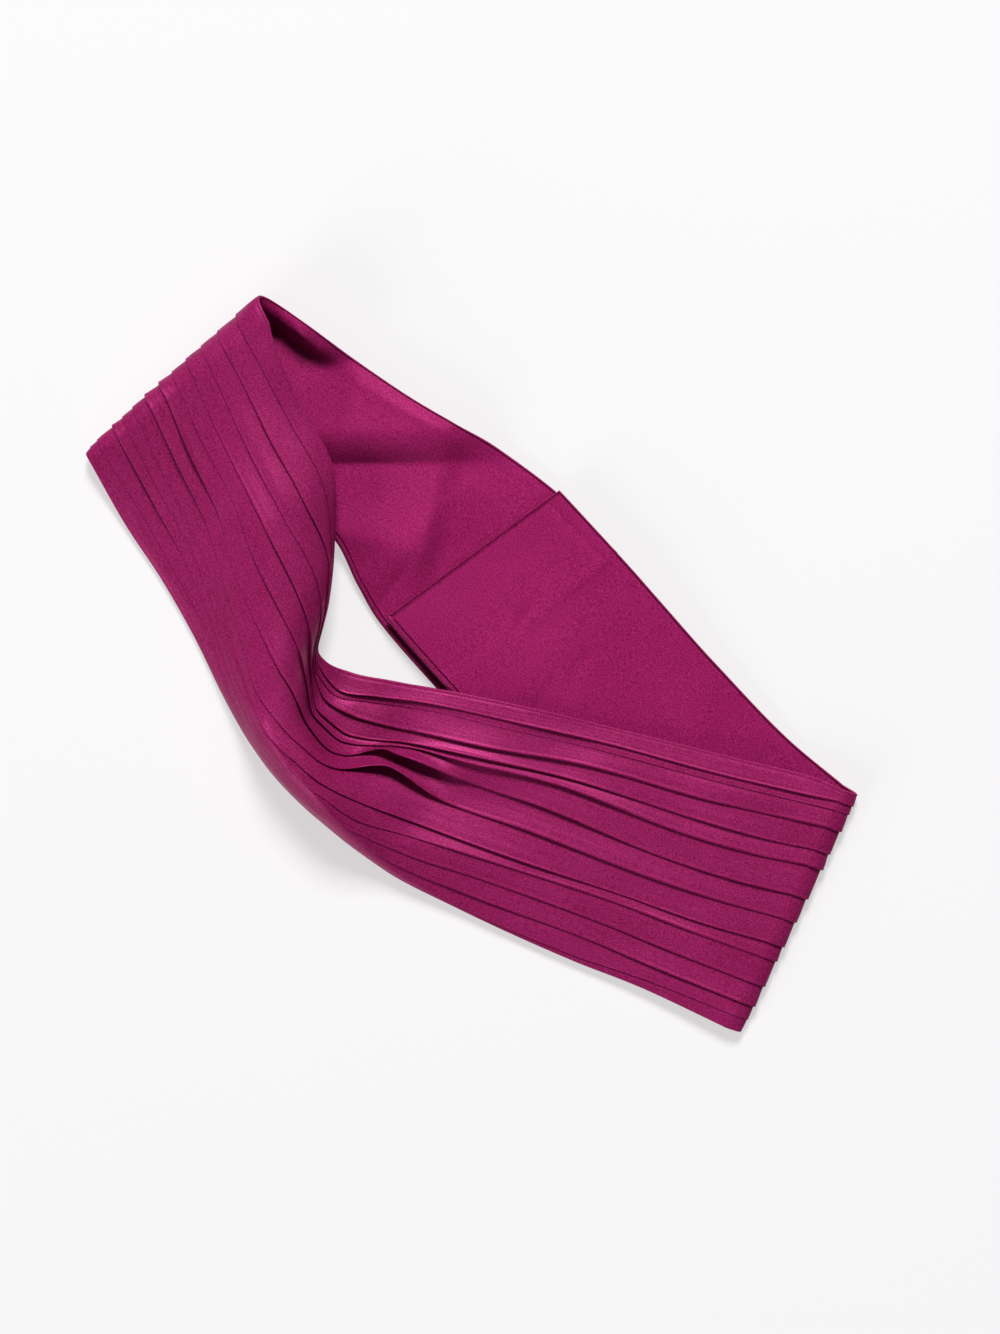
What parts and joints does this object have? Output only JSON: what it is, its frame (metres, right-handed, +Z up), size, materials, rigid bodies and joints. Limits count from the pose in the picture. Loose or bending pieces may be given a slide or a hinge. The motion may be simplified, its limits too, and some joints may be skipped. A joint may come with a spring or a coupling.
{
  "type": "pleated satin belt",
  "caption": "Wide satin belt, pleated in front and plain inside, closed into a loop and laid collapsed on a flat surface.",
  "frame": {"origin": "centre of the belt's footprint, on the surface that it lies on", "axes": "+X along the laid belt towards the end fold that is pressed flat, +Y from the pleated front's lower edge towards the back stretch, +Z up"},
  "size_m": [0.3664, 0.1718, 0.0293],
  "materials": {
    "pleated_satin": "satin, plum, knife-pleated along the belt",
    "lining_satin": "satin, plum, plain",
    "closure_tape": "woven hook-and-loop tape, plum"
  },
  "bodies": {
    "root": {"pleats_front": "pleated_satin", "pleats_back_left": "pleated_satin", "pleats_back_right": "pleated_satin", "lining_front": "lining_satin", "lining_back_left": "lining_satin", "lining_back_right": "lining_satin", "hook_tape": "closure_tape", "loop_tape": "closure_tape"}
  },
  "joints": []
}
